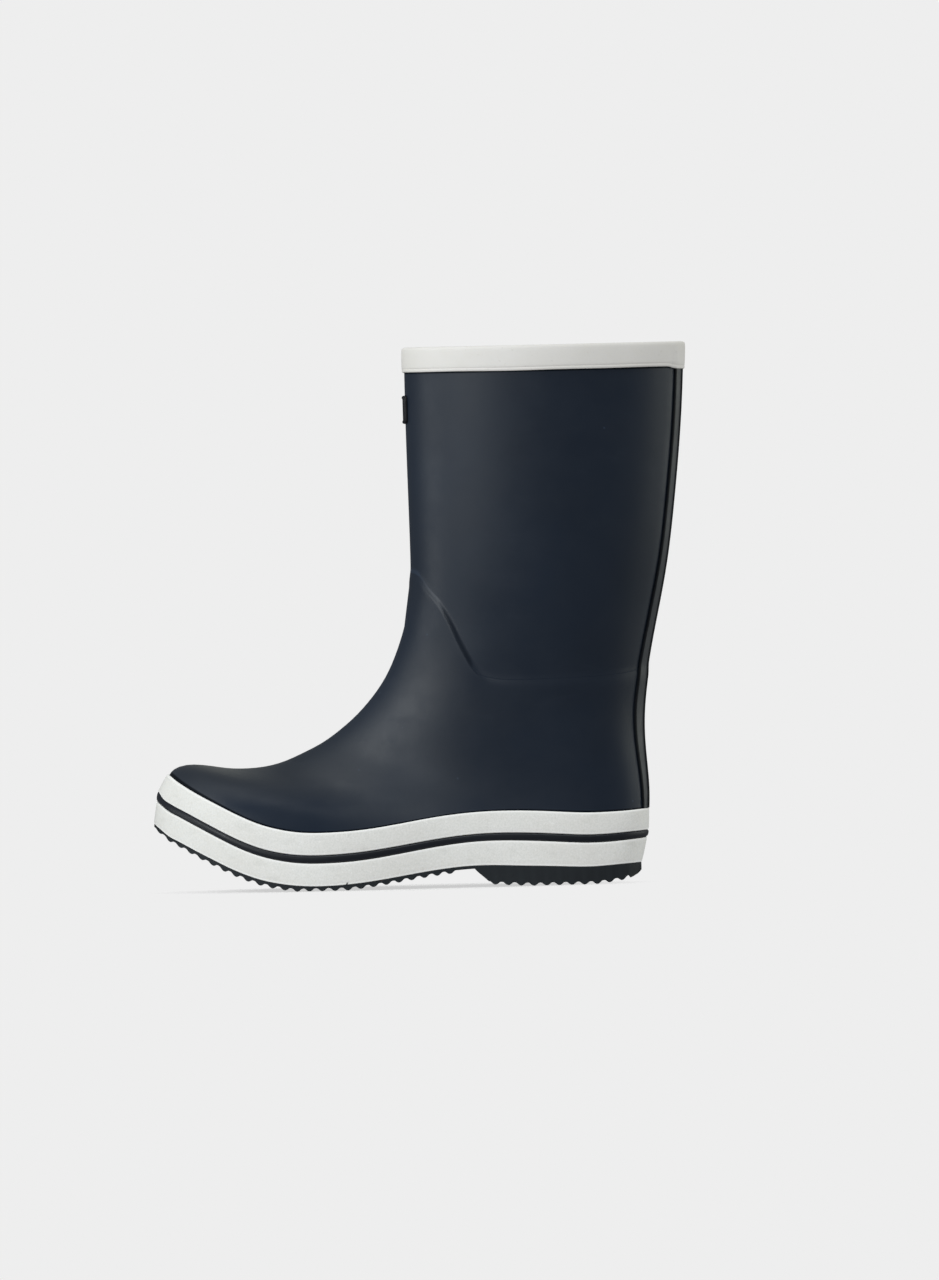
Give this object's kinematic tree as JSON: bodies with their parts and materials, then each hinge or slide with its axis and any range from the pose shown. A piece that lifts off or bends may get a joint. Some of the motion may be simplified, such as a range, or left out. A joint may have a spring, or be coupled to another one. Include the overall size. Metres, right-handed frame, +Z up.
{
  "type": "deck boot",
  "caption": "Mid-calf rubber deck boot with lapped foot panel, back strip, white rim binding, striped sole wall and ribbed outsole; loose insole lifts.",
  "frame": {"origin": "on the floor under the middle of the heel block, at the flat tread land the boot rests on", "axes": "+Z up towards the rim, -Y towards the toe, +X towards the outer side of a left foot"},
  "size_m": [0.1024, 0.314, 0.3121],
  "materials": {
    "rubber_navy": "satin",
    "rubber_white": "matte",
    "rubber_stripe": "satin",
    "rubber_sole": "matte",
    "rubber_badge": "satin",
    "sponge_rubber": "matte",
    "fibreboard": "matte",
    "cork_sheet": "matte",
    "spring_steel": "satin",
    "stiffener": "matte",
    "knit_lining": "matte",
    "insole_foam": "matte",
    "insole_knit": "matte"
  },
  "bodies": {
    "boot": {"outsole": "rubber_sole", "midsole": "sponge_rubber", "bottom_filler": "cork_sheet", "shank": "spring_steel", "heel_wedge": "sponge_rubber", "insole_board": "fibreboard", "foot_lining": "knit_lining", "leg_lining": "knit_lining", "toe_puff": "stiffener", "heel_counter": "stiffener", "shaft_panel": "rubber_navy", "foot_panel": "rubber_navy", "back_strip": "rubber_navy", "foxing_upper": "rubber_white", "foxing_stripe": "rubber_stripe", "foxing_lower": "rubber_white", "top_binding": "rubber_white", "front_badge": "rubber_badge"},
    "loose_insole": {"insole": "insole_foam", "insole_cover": "insole_knit"}
  },
  "joints": [
    {"name": "insole_lift", "type": "hinge", "parent": "boot", "child": "loose_insole", "pos_m": [-0.005, -0.214, 0.0419], "axis": [1, 0, 0], "range_deg": [0, 8]}
  ]
}
